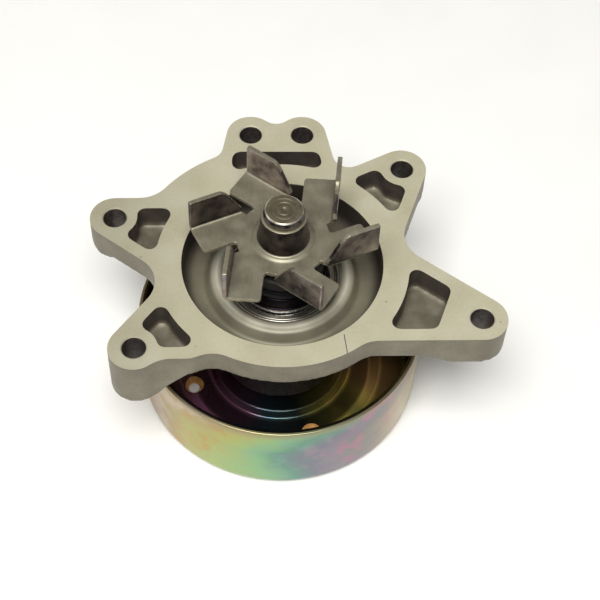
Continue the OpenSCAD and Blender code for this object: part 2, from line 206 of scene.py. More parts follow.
def lathe(profile, steps=160):
    """A closed profile of (radius, height) points swept round the pump's axis."""
    bm = bmesh.new()
    rings = []
    for r, z in profile:
        if r < 1e-6:
            rings.append([bm.verts.new((0, 0, z))] * steps)
        else:
            turn = [2 * math.pi * k / steps for k in range(steps)]
            rings.append([bm.verts.new((r * math.cos(a), r * math.sin(a), z)) for a in turn])
    for i, ring in enumerate(rings):
        after = rings[(i + 1) % len(rings)]
        for k in range(steps):
            m = (k + 1) % steps
            corners = []
            for v in (ring[k], ring[m], after[m], after[k]):
                if v not in corners:
                    corners.append(v)
            if len(corners) > 2:
                bm.faces.new(corners)
    return bm


def prism(loop, z0, z1, bm=None):
    """A loop of (x, y) points carried from one height to another."""
    bm = bm or bmesh.new()
    low = [bm.verts.new((p[0], p[1], z0)) for p in loop]
    high = [bm.verts.new((p[0], p[1], z1)) for p in loop]
    bm.faces.new(low[::-1])
    bm.faces.new(high)
    n = len(loop)
    for i in range(n):
        bm.faces.new((low[i], low[(i + 1) % n], high[(i + 1) % n], high[i]))
    return bm


def circle(x, y, r, steps=64):
    turn = [2 * math.pi * k / steps for k in range(steps)]
    return [(x + r * math.cos(a), y + r * math.sin(a)) for a in turn]


def apply_modifiers(made):
    """Turns an object's modifiers into plain mesh."""
    made.data = bpy.data.meshes.new_from_object(made.evaluated_get(bpy.context.evaluated_depsgraph_get()))
    made.modifiers.clear()


def combine(made, other, how="DIFFERENCE"):
    """Cuts another object away from this one, or joins them, and removes the other."""
    other.data.materials.clear()
    for item in made.data.materials:
        other.data.materials.append(item)
    step = made.modifiers.new("combine", "BOOLEAN")
    step.operation, step.solver, step.object = how, "MANIFOLD", other
    apply_modifiers(made)
    bpy.data.objects.remove(other)


def soften(made, voxel, passes):
    """Merges overlapping shells into one skin of small squares and rounds its edges."""
    step = made.modifiers.new("skin", "REMESH")
    step.mode, step.voxel_size = "VOXEL", voxel * MM
    smooth = made.modifiers.new("round", "SMOOTH")
    smooth.factor, smooth.iterations = 0.5, passes
    apply_modifiers(made)


def smooth_by_angle(made, degrees=32):
    made.data.shade_smooth()
    made.data.set_sharp_from_angle(angle=math.radians(degrees))


def finish_piece(made, body, slot, *nodes):
    """Puts a piece on its body, in place of the solid parts that it stands for."""
    if nodes:
        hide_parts(*nodes)
    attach(made, body)
    faces = len(made.data.polygons) if made.type == "MESH" else 0
    print(made.name, "rides on", body, "with", faces, "faces")


print("a 2 mm corner becomes", len(rounded([(0, 0, 2), (10, 0, 2), (10, 10, 2), (0, 10, 2)])), "points")

# %% [markdown]
# ## Floor and light
#
# The pump stands on its pulley, on a pale floor. Bare metal shows what is around it more
# than its own colour, so the room matters: a large soft light hangs above and a little in
# front, a weak one stands at the left, and the walls are a dim grey, so that the holes and
# hollows stay dark.

# %% Floor
floor_z = cad_box[0].z / MM
bm = bmesh.new()
bmesh.ops.create_grid(bm, x_segments=2, y_segments=2, size=2500)
bmesh.ops.translate(bm, vec=(0, 0, floor_z), verts=bm.verts)
paper, tree, shader, place = material("white_paper_sweep", Roughness=0.9)
grain = add(tree, "ShaderNodeTexNoise", {"Vector": place, "Scale": per_mm(30), "Detail": 3})
tint = add(tree, "ShaderNodeValToRGB", {"Fac": grain.outputs["Fac"]}, [(0.3, "#fafaf9"), (0.7, "#fdfdfc")])
tree.links.new(tint.outputs["Color"], shader.inputs["Base Color"])
floor = new_object("floor", bm, paper)
print("floor at", round(floor_z, 2), "mm")


# %% Lights
def soft_box(name, place, aim, size, power, colour):
    lamp = bpy.data.lights.new(name, "AREA")
    lamp.shape, lamp.size, lamp.size_y = "RECTANGLE", size[0], size[1]
    lamp.energy, lamp.color = power, linear(colour)[:3]
    made = bpy.data.objects.new(name, lamp)
    made.location = Vector(place)
    made.rotation_mode = "QUATERNION"
    made.rotation_quaternion = (Vector(aim) - Vector(place)).to_track_quat("-Z", "Y")
    bpy.context.scene.collection.objects.link(made)
    return made


soft_box("light_top", (-0.08, -0.42, 0.98), (0, 0, 0), (0.62, 0.5), 13.0, "#fffefa")
soft_box("light_left", (-0.9, 0.0, 0.4), (0, 0, 0), (0.5, 0.4), 0.7, "#fffdf6")

world = bpy.data.worlds.new("quiet_room")
bpy.context.scene.world = world
world.use_nodes = True
sky = world.node_tree
spot = add(sky, "ShaderNodeTexCoord")
split = add(sky, "ShaderNodeSeparateXYZ", {"Vector": spot.outputs["Generated"]})
band = add(
    sky,
    "ShaderNodeValToRGB",
    {"Fac": split.outputs["Z"]},
    [(0.0, "#b9b8b4"), (0.25, "#a8a7a3"), (0.6, "#c4c3bf"), (1.0, "#dedddb")],
)
back = sky.nodes["Background"] if "Background" in sky.nodes else add(sky, "ShaderNodeBackground")
sky.links.new(band.outputs["Color"], back.inputs["Color"])
back.inputs["Strength"].default_value = 0.4
bpy.context.scene.view_settings.view_transform = "Standard"

# %% [markdown]
# ## Cast and machined aluminium
#
# The housing is pressure die-cast aluminium. Its skin is a warm mid grey with a fine
# grain where the metal froze against the die. The faces that seal are milled or turned
# afterwards: brighter, flatter, with faint tool marks and a few pores that the cut opened.
# All three are metals; only their colour, roughness and the size of their marks differ.

# %% Die-cast aluminium skin
# Freezing grain about 0.6 mm wide gives a soft sparkle; 8 mm clouds are die-release stains.
cast_skin, tree, shader, place = material("die_cast_aluminium", Metallic=0.55)
cloud = add(tree, "ShaderNodeTexNoise", {"Vector": place, "Scale": per_mm(9), "Detail": 4})
grain = add(tree, "ShaderNodeTexNoise", {"Vector": place, "Scale": per_mm(0.7), "Detail": 3})
mixed = add(
    tree, "ShaderNodeMix", {"Factor": 0.35, "A": cloud.outputs["Fac"], "B": grain.outputs["Fac"]}
)
tint = add(
    tree,
    "ShaderNodeValToRGB",
    {"Fac": mixed.outputs["Result"]},
    [(0.3, "#6b6559"), (0.5, "#7b7566"), (0.7, "#8a8576")],
)
rough = add(
    tree, "ShaderNodeMapRange", {"Value": grain.outputs["Fac"], "To Min": 0.42, "To Max": 0.62}
)
bump = add(
    tree, "ShaderNodeBump", {"Height": grain.outputs["Fac"], "Strength": 0.35, "Distance": 0.06 * MM}
)
wire(tree, shader, tint.outputs["Color"], rough, bump)

# %% Milled aluminium face
# The cutter's rings are 4.4 mm apart, drawn coarser than real so that they show faintly.
milled, tree, shader, place = material("milled_aluminium", Metallic=0.2)
cloud = add(tree, "ShaderNodeTexNoise", {"Vector": place, "Scale": per_mm(14), "Detail": 5})
speck = add(tree, "ShaderNodeTexNoise", {"Vector": place, "Scale": per_mm(0.9), "Detail": 4})
arcs = add(
    tree,
    "ShaderNodeTexWave",
    {"Vector": place, "Scale": per_mm(14), "Distortion": 1.2, "Detail": 1},
    wave_type="RINGS",
    rings_direction="Z",
)
mixed = add(tree, "ShaderNodeMix", {"Factor": 0.3, "A": cloud.outputs["Fac"], "B": speck.outputs["Fac"]})
tint = add(
    tree,
    "ShaderNodeValToRGB",
    {"Fac": mixed.outputs["Result"]},
    [(0.3, "#b3ac93"), (0.5, "#bdb89f"), (0.7, "#c5c1ac")],
)
pores = add(tree, "ShaderNodeTexVoronoi", {"Vector": place, "Scale": per_mm(7)}, feature="F1")
pore = add(
    tree,
    "ShaderNodeValToRGB",
    {"Fac": pores.outputs["Distance"]},
    [(0.0, "#4a4438"), (0.03, "#8a8474"), (0.05, "#ffffff")],
)
dotted = add(
    tree,
    "ShaderNodeMix",
    {"Factor": 0.6, "A": tint.outputs["Color"], "B": pore.outputs["Color"]},
    data_type="RGBA",
    blend_type="MULTIPLY",
)
rough = add(tree, "ShaderNodeMapRange", {"Value": cloud.outputs["Fac"], "To Min": 0.46, "To Max": 0.58})
height = add(
    tree, "ShaderNodeMix", {"Factor": 0.5, "A": arcs.outputs["Fac"], "B": speck.outputs["Fac"]}
)
bump = add(
    tree, "ShaderNodeBump", {"Height": height.outputs["Result"], "Strength": 0.25, "Distance": 0.02 * MM}
)
# painted shade: the face is drawn darker towards the lobes on the left
side_x = add(tree, "ShaderNodeSeparateXYZ", {"Vector": place})
left_painted_shade = add(
    tree,
    "ShaderNodeMapRange",
    {"Value": side_x.outputs["X"], "From Min": -50 * MM, "From Max": -20 * MM, "To Min": 0.78},
)
left_shaded = add(
    tree,
    "ShaderNodeVectorMath",
    {0: dotted.outputs["Result"], "Scale": left_painted_shade.outputs["Result"]},
    operation="SCALE",
)
wire(tree, shader, left_shaded.outputs["Vector"], rough, bump)

# %% Turned chamber
# The colour runs with the distance from the axis, from 14 mm to 31 mm: painted light on the crest
# round the seal, painted shade on the upright wall. The stops are chosen for the look.
turned_chamber, tree, shader, place = material("turned_aluminium", Metallic=0.25)
cloud = add(tree, "ShaderNodeTexNoise", {"Vector": place, "Scale": per_mm(11), "Detail": 3})
flat = add(tree, "ShaderNodeMapping", {"Vector": place, "Scale": (1, 1, 0)})
reach = add(tree, "ShaderNodeVectorMath", {0: flat.outputs["Vector"]}, operation="LENGTH")
way = add(
    tree,
    "ShaderNodeMapRange",
    {"Value": reach.outputs["Value"], "From Min": 14 * MM, "From Max": 31 * MM},
)
painted_light_by_radius = add(
    tree,
    "ShaderNodeValToRGB",
    {"Fac": way.outputs["Result"]},
    [
        (0.0, "#8a8472"),
        (0.19, "#bdb9a9"),
        (0.235, "#827d6c"),
        (0.29, "#b5b09e"),
        (0.34, "#e4dfcc"),
        (0.39, "#c2bda9"),
        (0.47, "#928d79"),
        (0.6, "#827d69"),
        (0.74, "#777260"),
        (0.85, "#5a5448"),
        (0.92, "#443e38"),
        (0.96, "#3e3934"),
    ],
)
stain = add(tree, "ShaderNodeValToRGB", {"Fac": cloud.outputs["Fac"]}, [(0.3, "#dddddd"), (0.7, "#ffffff")])
tint = add(
    tree,
    "ShaderNodeMix",
    {"Factor": 1.0, "A": painted_light_by_radius.outputs["Color"], "B": stain.outputs["Color"]},
    data_type="RGBA",
    blend_type="MULTIPLY",
)
rings = add(
    tree,
    "ShaderNodeTexWave",
    {"Vector": place, "Scale": per_mm(8), "Distortion": 0.4},
    wave_type="RINGS",
    rings_direction="Z",
)
bump = add(
    tree, "ShaderNodeBump", {"Height": rings.outputs["Fac"], "Strength": 0.2, "Distance": 0.02 * MM}
)
rough = add(tree, "ShaderNodeMapRange", {"Value": cloud.outputs["Fac"], "To Min": 0.46, "To Max": 0.56})
wire(tree, shader, tint.outputs["Result"], rough, bump)

# %% Drilled holes and the nose, with painted shade
# A drilled wall, and the bearing's nose with it, is drawn dark: painted shade, so a hole reads as dark.
hole_and_nose_painted_shade, tree, shader, place = material("drilled_aluminium_painted_shade", Metallic=0.5)
swarf = add(tree, "ShaderNodeTexNoise", {"Vector": place, "Scale": per_mm(1.2), "Detail": 3})
tint = add(tree, "ShaderNodeValToRGB", {"Fac": swarf.outputs["Fac"]}, [(0.3, "#3b3436"), (0.7, "#5f5751")])
rough = add(tree, "ShaderNodeMapRange", {"Value": swarf.outputs["Fac"], "To Min": 0.4, "To Max": 0.6})
wire(tree, shader, tint.outputs["Color"], rough)

# %% Painted shade on the skin of the pockets
# The pockets' skin is drawn darker than the open casting, and darker up the walls than on the floor: painted
# shade in the recesses.
pocket_painted_shade, tree, shader, place = material("die_cast_aluminium_pocket_painted_shade", Metallic=0.4)
cloud = add(tree, "ShaderNodeTexNoise", {"Vector": place, "Scale": per_mm(5), "Detail": 4})
grain = add(tree, "ShaderNodeTexNoise", {"Vector": place, "Scale": per_mm(0.7), "Detail": 3})
low_part = add(tree, "ShaderNodeSeparateXYZ", {"Vector": place})
deep = add(
    tree,
    "ShaderNodeMapRange",
    {"Value": low_part.outputs["Z"], "From Min": -8.2 * MM, "From Max": -6 * MM},
)
floor_tint = add(
    tree, "ShaderNodeValToRGB", {"Fac": cloud.outputs["Fac"]}, [(0.3, "#625c4d"), (0.7, "#868070")]
)
wall_painted_shade = add(
    tree, "ShaderNodeValToRGB", {"Fac": cloud.outputs["Fac"]}, [(0.3, "#453e3c"), (0.7, "#5e564f")]
)
tint = add(
    tree,
    "ShaderNodeMix",
    {"Factor": deep.outputs["Result"], "A": floor_tint.outputs["Color"], "B": wall_painted_shade.outputs["Color"]},
    data_type="RGBA",
)
bump = add(
    tree, "ShaderNodeBump", {"Height": grain.outputs["Fac"], "Strength": 0.35, "Distance": 0.06 * MM}
)
rough = add(tree, "ShaderNodeMapRange", {"Value": grain.outputs["Fac"], "To Min": 0.45, "To Max": 0.62})
wire(tree, shader, tint.outputs["Result"], rough, bump)
print("aluminium finishes", [m.name for m in (cast_skin, milled, turned_chamber, hole_and_nose_painted_shade, pocket_painted_shade)])

# %% [markdown]
# ## Steels
#
# The impeller is bare cold-rolled sheet with a dull shaded surface and fine rolling lines.
# The shaft is hardened and ground, darker, with turned rings on its end face. Stampings
# of the seal are bright stainless sheet, and the spring is drawn wire.

# %% Cold-rolled sheet of the impeller
pressed_steel, tree, shader, place = material("cold_rolled_steel", Metallic=0.6)
cloud = add(tree, "ShaderNodeTexNoise", {"Vector": place, "Scale": per_mm(6), "Detail": 4})
stretch = add(tree, "ShaderNodeMapping", {"Vector": place, "Scale": (1, 0.12, 1)})
lines = add(
    tree, "ShaderNodeTexNoise", {"Vector": stretch.outputs["Vector"], "Scale": per_mm(0.5), "Detail": 3}
)
mixed = add(tree, "ShaderNodeMix", {"Factor": 0.22, "A": cloud.outputs["Fac"], "B": lines.outputs["Fac"]})
tint = add(
    tree,
    "ShaderNodeValToRGB",
    {"Fac": mixed.outputs["Result"]},
    [(0.3, "#7b7664"), (0.5, "#8e8876"), (0.7, "#9f9b88")],
)
rough = add(tree, "ShaderNodeMapRange", {"Value": mixed.outputs["Result"], "To Min": 0.36, "To Max": 0.52})
bump = add(
    tree, "ShaderNodeBump", {"Height": mixed.outputs["Result"], "Strength": 0.2, "Distance": 0.03 * MM}
)
wire(tree, shader, tint.outputs["Color"], rough, bump)

# %% Burnished steel with painted shade, for the folded blades and the drawn neck
# These upright faces are drawn darker than the plate, as painted shade, and smoother, with
# purple-brown clouds 3 mm wide. How dark each one is has been chosen for the look.
burnished_painted_shade, tree, shader, place = material("burnished_steel_painted_shade", Metallic=1.0)
cloud = add(tree, "ShaderNodeTexNoise", {"Vector": place, "Scale": per_mm(3), "Detail": 4})
tint = add(
    tree,
    "ShaderNodeValToRGB",
    {"Fac": cloud.outputs["Fac"]},
    [(0.3, "#766a72"), (0.5, "#ab9fa1"), (0.7, "#cac1ba")],
)
# painted shade: darker on the left blade and the neck than on the blade behind them
run = add(
    tree, "ShaderNodeVectorMath", {0: place, 1: (0.6 / (48 * MM), 1 / (48 * MM), 0)}, operation="DOT_PRODUCT"
)
part_way = add(tree, "ShaderNodeMath", {0: run.outputs["Value"], 1: 0.5}, operation="ADD")
shade = add(
    tree,
    "ShaderNodeValToRGB",
    {"Fac": part_way.outputs["Value"]},
    [
        (0.0, "#cbcbcb"),
        (0.2, "#c0c0c0"),
        (0.3, "#757575"),
        (0.42, "#6f6f6f"),
        (0.5, "#909090"),
        (0.62, "#aeaeae"),
        (0.8, "#f4f4f4"),
    ],
)
shaded = add(
    tree,
    "ShaderNodeMix",
    {"Factor": 1.0, "A": tint.outputs["Color"], "B": shade.outputs["Color"]},
    data_type="RGBA",
    blend_type="MULTIPLY",
)
rough = add(tree, "ShaderNodeMapRange", {"Value": cloud.outputs["Fac"], "To Min": 0.22, "To Max": 0.36})
bump = add(tree, "ShaderNodeBump", {"Height": cloud.outputs["Fac"], "Strength": 0.3, "Distance": 0.05 * MM})
wire(tree, shader, shaded.outputs["Result"], rough, bump)

# %% Ground shaft steel
shaft_steel, tree, shader, place = material("ground_shaft_steel", Metallic=0.6)
cloud = add(tree, "ShaderNodeTexNoise", {"Vector": place, "Scale": per_mm(2.5), "Detail": 4})
rings = add(
    tree,
    "ShaderNodeTexWave",
    {"Vector": place, "Scale": per_mm(9), "Distortion": 0.3},
    wave_type="RINGS",
    rings_direction="Z",
)
tint = add(
    tree,
    "ShaderNodeValToRGB",
    {"Fac": cloud.outputs["Fac"]},
    [(0.3, "#5b5445"), (0.7, "#756d5b")],
)
bump = add(
    tree, "ShaderNodeBump", {"Height": rings.outputs["Fac"], "Strength": 0.3, "Distance": 0.02 * MM}
)
rough = add(tree, "ShaderNodeMapRange", {"Value": cloud.outputs["Fac"], "To Min": 0.42, "To Max": 0.56})
wire(tree, shader, tint.outputs["Color"], rough, bump)

# %% Bright and blackened steels: stampings, polished edges, bearing steel and spring wire
# A stamping keeps faint rings from its die; balls and wire are smooth.
bright = {}
for name, dark, light, low, high, size, depth in (
    ("stainless_stamping", "#9d9990", "#bdb9af", 0.26, 0.38, 3.0, 0.12),
    # the polished edge is drawn light as a painted highlight, laid on the shaft's chamfer
    ("polished_edge_painted_highlight", "#c9c2b0", "#e4dfcf", 0.3, 0.4, 1.0, 0.0),
    ("blackened_steel", "#17131a", "#2a2529", 0.24, 0.36, 1.0, 0.02),
    ("ground_bearing_steel", "#a4a5a6", "#c2c3c4", 0.12, 0.2, 2.0, 0.0),
    ("drawn_spring_wire", "#8f8e8a", "#b4b3ae", 0.22, 0.34, 0.8, 0.0),
):
    bright[name], tree, shader, place = material(name, Metallic=1.0)
    cloud = add(tree, "ShaderNodeTexNoise", {"Vector": place, "Scale": per_mm(size), "Detail": 3})
    tint = add(
        tree, "ShaderNodeValToRGB", {"Fac": cloud.outputs["Fac"]}, [(0.3, dark), (0.7, light)]
    )
    rough = add(tree, "ShaderNodeMapRange", {"Value": cloud.outputs["Fac"], "To Min": low, "To Max": high})
    rings = add(
        tree,
        "ShaderNodeTexWave",
        {"Vector": place, "Scale": per_mm(6), "Distortion": 0.6},
        wave_type="RINGS",
        rings_direction="Z",
    )
    bump = add(
        tree, "ShaderNodeBump", {"Height": rings.outputs["Fac"], "Strength": 0.6, "Distance": depth * MM}
    )
    wire(tree, shader, tint.outputs["Color"], rough, bump)
print("steels", pressed_steel.name, burnished_painted_shade.name, shaft_steel.name, list(bright))

# %% [markdown]
# ## Rubber, cage plastic and seal faces
#
# Nitrile rubber is matt black with a dusty grain. The cages are brown glass-filled
# polyamide. The seal runs carbon graphite against silicon carbide, both dark and lapped.

# %% Rubber, plastic and seal faces
dark = {}
for name, low_colour, high_colour, low, high, size, depth in (
    ("nitrile_rubber", "#100e0f", "#1d1b1c", 0.5, 0.7, 0.5, 0.03),
    ("brown_polyamide", "#5a3d22", "#6f4d2c", 0.4, 0.55, 0.8, 0.02),
    ("carbon_graphite", "#17171a", "#26262a", 0.3, 0.42, 0.6, 0.01),
    ("silicon_carbide", "#2b2c30", "#3b3c41", 0.16, 0.26, 0.6, 0.005),
):
    dark[name], tree, shader, place = material(name)
    cloud = add(tree, "ShaderNodeTexNoise", {"Vector": place, "Scale": per_mm(size), "Detail": 4})
    tint = add(
        tree,
        "ShaderNodeValToRGB",
        {"Fac": cloud.outputs["Fac"]},
        [(0.3, low_colour), (0.7, high_colour)],
    )
    rough = add(tree, "ShaderNodeMapRange", {"Value": cloud.outputs["Fac"], "To Min": low, "To Max": high})
    bump = add(
        tree, "ShaderNodeBump", {"Height": cloud.outputs["Fac"], "Strength": 0.5, "Distance": depth * MM}
    )
    wire(tree, shader, tint.outputs["Color"], rough, bump)
print("dark finishes", list(dark))

# %% [markdown]
# ## Yellow zinc plating
#
# The pulley is zinc plated and passivated. The passivate is a film thinner than a light
# wave, and its thickness drifts round the part, so the colour drifts through straw,
# green, teal and pink. A thin-film shader would move with the view; here the drift is
# laid round the pulley as a ramp over the angle, bent by a slow noise. The two ends of the
# ramp differ, so the band has an upright colour seam at the back.

# %% Yellow zinc plating
zinc_plate, tree, shader, place = material("yellow_zinc_plate", Metallic=0.85)
split = add(tree, "ShaderNodeSeparateXYZ", {"Vector": place})
around = add(
    tree,
    "ShaderNodeMath",
    {0: split.outputs["Y"], 1: split.outputs["X"]},
    operation="ARCTAN2",
)
turn = add(
    tree,
    "ShaderNodeMapRange",
    {"Value": around.outputs["Value"], "From Min": -math.pi, "From Max": math.pi},
)
drift = add(tree, "ShaderNodeTexNoise", {"Vector": place, "Scale": per_mm(26), "Detail": 2})
flow = add(tree, "ShaderNodeMapping", {"Vector": place, "Scale": (1, 1, 3.2)})
streak = add(
    tree, "ShaderNodeTexNoise", {"Vector": flow.outputs["Vector"], "Scale": per_mm(9), "Detail": 4}
)
bend = add(
    tree, "ShaderNodeMapRange", {"Value": drift.outputs["Fac"], "To Min": -0.045, "To Max": 0.045}
)
rise = add(
    tree,
    "ShaderNodeMapRange",
    {"Value": split.outputs["Z"], "From Min": -38 * MM, "From Max": -27 * MM, "To Max": -0.06},
)
part_way = add(
    tree, "ShaderNodeMath", {0: turn.outputs["Result"], 1: rise.outputs["Result"]}, operation="ADD"
)
shift = add(
    tree, "ShaderNodeMath", {0: part_way.outputs["Value"], 1: bend.outputs["Result"]}, operation="ADD"
)
# the hues are the film's own; the stops at 0.0 to 0.083 and at 0.43, the band's left and right front, are
# drawn lighter as painted light
film_and_painted_light = add(
    tree,
    "ShaderNodeValToRGB",
    {"Fac": shift.outputs["Value"]},
    [
        (0.0, "#a7937e"),
        (0.083, "#c4b39f"),
        (0.111, "#aa9e69"),
        (0.139, "#aea764"),
        (0.167, "#a6ae66"),
        (0.194, "#99b374"),
        (0.222, "#84b282"),
        (0.25, "#619281"),
        (0.278, "#747a89"),
        (0.306, "#897e8d"),
        (0.333, "#817e81"),
        (0.361, "#8b847f"),
        (0.389, "#a89881"),
        (0.43, "#cabfa4"),
        (0.52, "#a19769"),
        (0.62, "#8ca775"),
        (0.7, "#6e9486"),
        (0.76, "#937385"),
        (0.86, "#877d73"),
        (0.93, "#a39b64"),
        (1.0, "#98836e"),
    ],
)
patch = add(
    tree,
    "ShaderNodeValToRGB",
    {"Fac": streak.outputs["Fac"]},
    [(0.36, "#a79e66"), (0.47, "#83a784"), (0.58, "#a3748b"), (0.68, "#999272")],
)
clouded = add(
    tree,
    "ShaderNodeMix",
    {"Factor": 0.14, "A": film_and_painted_light.outputs["Color"], "B": patch.outputs["Color"]},
    data_type="RGBA",
)
# blotches 6 mm wide: pink where the film is grey-violet, orange where it is straw
blotch = add(tree, "ShaderNodeTexNoise", {"Vector": place, "Scale": per_mm(6.5), "Detail": 3})
spread = add(
    tree,
    "ShaderNodeMapRange",
    {"Value": blotch.outputs["Fac"], "From Min": 0.5, "From Max": 0.64, "To Max": 0.75},
)
blush = add(
    tree,
    "ShaderNodeValToRGB",
    {"Fac": shift.outputs["Value"]},
    [
        (0.1, "#af9363"),
        (0.17, "#b29050"),
        (0.21, "#8bac84"),
        (0.26, "#769d92"),
        (0.3, "#af7692"),
        (0.38, "#ac7f89"),
        (0.43, "#b7a488"),
        (0.6, "#86a87a"),
        (0.76, "#ab6f8c"),
        (0.9, "#b39a62"),
    ],
)
blotched = add(
    tree,
    "ShaderNodeMix",
    {"Factor": spread.outputs["Result"], "A": clouded.outputs["Result"], "B": blush.outputs["Color"]},
    data_type="RGBA",
)
near_lip = add(
    tree,
    "ShaderNodeMapRange",
    {"Value": split.outputs["Z"], "From Min": -30 * MM, "From Max": -27 * MM, "To Max": 0.8},
)
plated = add(
    tree,
    "ShaderNodeMix",
    {"Factor": near_lip.outputs["Result"], "A": blotched.outputs["Result"], "B": linear("#968b70")},
    data_type="RGBA",
)
fine = add(tree, "ShaderNodeTexNoise", {"Vector": flow.outputs["Vector"], "Scale": per_mm(0.8), "Detail": 3})
rough = add(tree, "ShaderNodeMapRange", {"Value": fine.outputs["Fac"], "To Min": 0.3, "To Max": 0.42})
bump = add(tree, "ShaderNodeBump", {"Height": fine.outputs["Fac"], "Strength": 0.12, "Distance": 0.03 * MM})
wire(tree, shader, plated.outputs["Result"], rough, bump)

# %% Inside of the pulley
# The film in the cup is drawn in deeper gold and purple than outside. It is drawn brightest on
# the two bent rings of the web, 22 mm and 31 mm from the axis, as painted highlights, and darker on the wall
# as painted shade.
zinc_inside, tree, shader, place = material("yellow_zinc_plate_inside", Metallic=0.75)
split = add(tree, "ShaderNodeSeparateXYZ", {"Vector": place})
around = add(
    tree,
    "ShaderNodeMath",
    {0: split.outputs["Y"], 1: split.outputs["X"]},
    operation="ARCTAN2",
)
turn = add(
    tree,
    "ShaderNodeMapRange",
    {"Value": around.outputs["Value"], "From Min": -math.pi, "From Max": math.pi},
)
drift = add(tree, "ShaderNodeTexNoise", {"Vector": place, "Scale": per_mm(14), "Detail": 3})
bend = add(tree, "ShaderNodeMapRange", {"Value": drift.outputs["Fac"], "To Min": -0.1, "To Max": 0.1})
shift = add(tree, "ShaderNodeMath", {0: turn.outputs["Result"], 1: bend.outputs["Result"]}, operation="ADD")
film_and_painted_light = add(
    tree,
    "ShaderNodeValToRGB",
    {"Fac": shift.outputs["Value"]},
    [
        (0.0, "#8a5f3c"),
        (0.08, "#80506a"),
        (0.14, "#7a5468"),
        (0.2, "#3f5560"),
        (0.28, "#3c4a44"),
        (0.36, "#8f8a4a"),
        (0.42, "#d8ba60"),
        (0.48, "#d8a66c"),
        (0.55, "#9a8f4a"),
        (0.7, "#7a4f6c"),
        (0.85, "#8f8a4a"),
        (1.0, "#8a5f3c"),
    ],
)
flat = add(tree, "ShaderNodeMapping", {"Vector": place, "Scale": (1, 1, 0)})
reach = add(tree, "ShaderNodeVectorMath", {0: flat.outputs["Vector"]}, operation="LENGTH")
way = add(
    tree,
    "ShaderNodeMapRange",
    {"Value": reach.outputs["Value"], "From Min": 18 * MM, "From Max": 44 * MM},
)
cup_painted_light = add(
    tree,
    "ShaderNodeValToRGB",
    {"Fac": way.outputs["Result"]},
    [
        (0.0, "#9a9a9a"),
        (0.12, "#8a8a8a"),
        (0.15, "#ffffff"),
        (0.19, "#ffffff"),
        (0.24, "#808080"),
        (0.42, "#8a8a8a"),
        (0.47, "#ffffff"),
        (0.56, "#ffffff"),
        (0.62, "#969696"),
        (0.85, "#7a7a7a"),
        (0.92, "#606060"),
    ],
)
tint = add(
    tree,
    "ShaderNodeMix",
    {"Factor": 1.0, "A": film_and_painted_light.outputs["Color"], "B": cup_painted_light.outputs["Color"]},
    data_type="RGBA",
    blend_type="MULTIPLY",
)
tree.links.new(tint.outputs["Result"], shader.inputs["Base Color"])
rough = add(tree, "ShaderNodeMapRange", {"Value": drift.outputs["Fac"], "To Min": 0.2, "To Max": 0.32})
tree.links.new(rough.outputs["Result"], shader.inputs["Roughness"])

# %% Amber painted light in the punched holes
# The walls of the punched holes are drawn in bright amber, plainer and less metallic than the cup: painted
# light, standing in for a lit surface seen through the holes.
hole_wall_painted_light, tree, shader, place = material("amber_zinc_plate_painted_light", Metallic=0.2)
cloud = add(tree, "ShaderNodeTexNoise", {"Vector": place, "Scale": per_mm(2), "Detail": 3})
tint = add(tree, "ShaderNodeValToRGB", {"Fac": cloud.outputs["Fac"]}, [(0.3, "#c98f4e"), (0.7, "#e0b070")])
rough = add(tree, "ShaderNodeMapRange", {"Value": cloud.outputs["Fac"], "To Min": 0.4, "To Max": 0.55})
wire(tree, shader, tint.outputs["Color"], rough)
print("platings", zinc_plate.name, zinc_inside.name, hole_wall_painted_light.name)

# %% [markdown]
# ## The housing's outline
#
# The flange's plan is read off the solid model: a cut just below the gasket face gives
# its outline, the chamber, the bolt holes and the five cast pockets as closed loops. So
# the casting below fits the model exactly, whatever its sizes are.

# %% Read the loops of the flange
housing = frame["nodes"]["pump_housing"]


def section_loops(source, z):
    """Closed loops of (x, y) in mm where a level cut meets a mesh, largest first."""
    bm = bmesh.new()
    bm.from_mesh(source.data)
    bmesh.ops.remove_doubles(bm, verts=bm.verts, dist=1e-7)
    cut = bmesh.ops.bisect_plane(
        bm,
        geom=bm.verts[:] + bm.edges[:] + bm.faces[:],
        plane_co=(0, 0, z * MM),
        plane_no=(0, 0, 1),
    )["geom_cut"]
    edges = {e for e in cut if isinstance(e, bmesh.types.BMEdge)}
    loops = []
    while edges:
        edge = edges.pop()
        path = [edge.verts[0], edge.verts[1]]
        while path[-1] is not path[0]:
            step = next((e for e in path[-1].link_edges if e in edges), None)
            if step is None:
                break
            edges.discard(step)
            path.append(step.other_vert(path[-1]))
        loops.append([(v.co.x / MM, v.co.y / MM) for v in path[:-1]])
    bm.free()
    return sorted(loops, key=lambda loop: -abs(area(loop)))


def area(loop):
    return sum(a[0] * b[1] - b[0] * a[1] for a, b in zip(loop, loop[1:] + loop[:1])) / 2


loops = section_loops(housing, -0.5)
mounts = {m["name"]: m for m in frame["record"]["mounts"]}
bolts = [
    (m["pos_m"][0] / MM, m["pos_m"][1] / MM, m["dims"]["r_mm"], m["dims"]["length_mm"])
    for name, m in sorted(mounts.items())
    if name.startswith("bolt_hole")
]


def around_bolt(loop):
    x = sum(p[0] for p in loop) / len(loop)
    y = sum(p[1] for p in loop) / len(loop)
    return any(math.hypot(x - b[0], y - b[1]) < 1 for b in bolts)


outline, chamber_loop = loops[0], loops[1]
chamber_r = max(math.hypot(*p) for p in chamber_loop)
pockets = [loop for loop in loops[2:] if not around_bolt(loop) and abs(area(loop)) > 20]
nose_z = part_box("pump_housing")[0].z / MM
print("outline", len(outline), "points; chamber radius %.2f; pockets %d; bolts %d" % (
    chamber_r, len(pockets), len(bolts)))

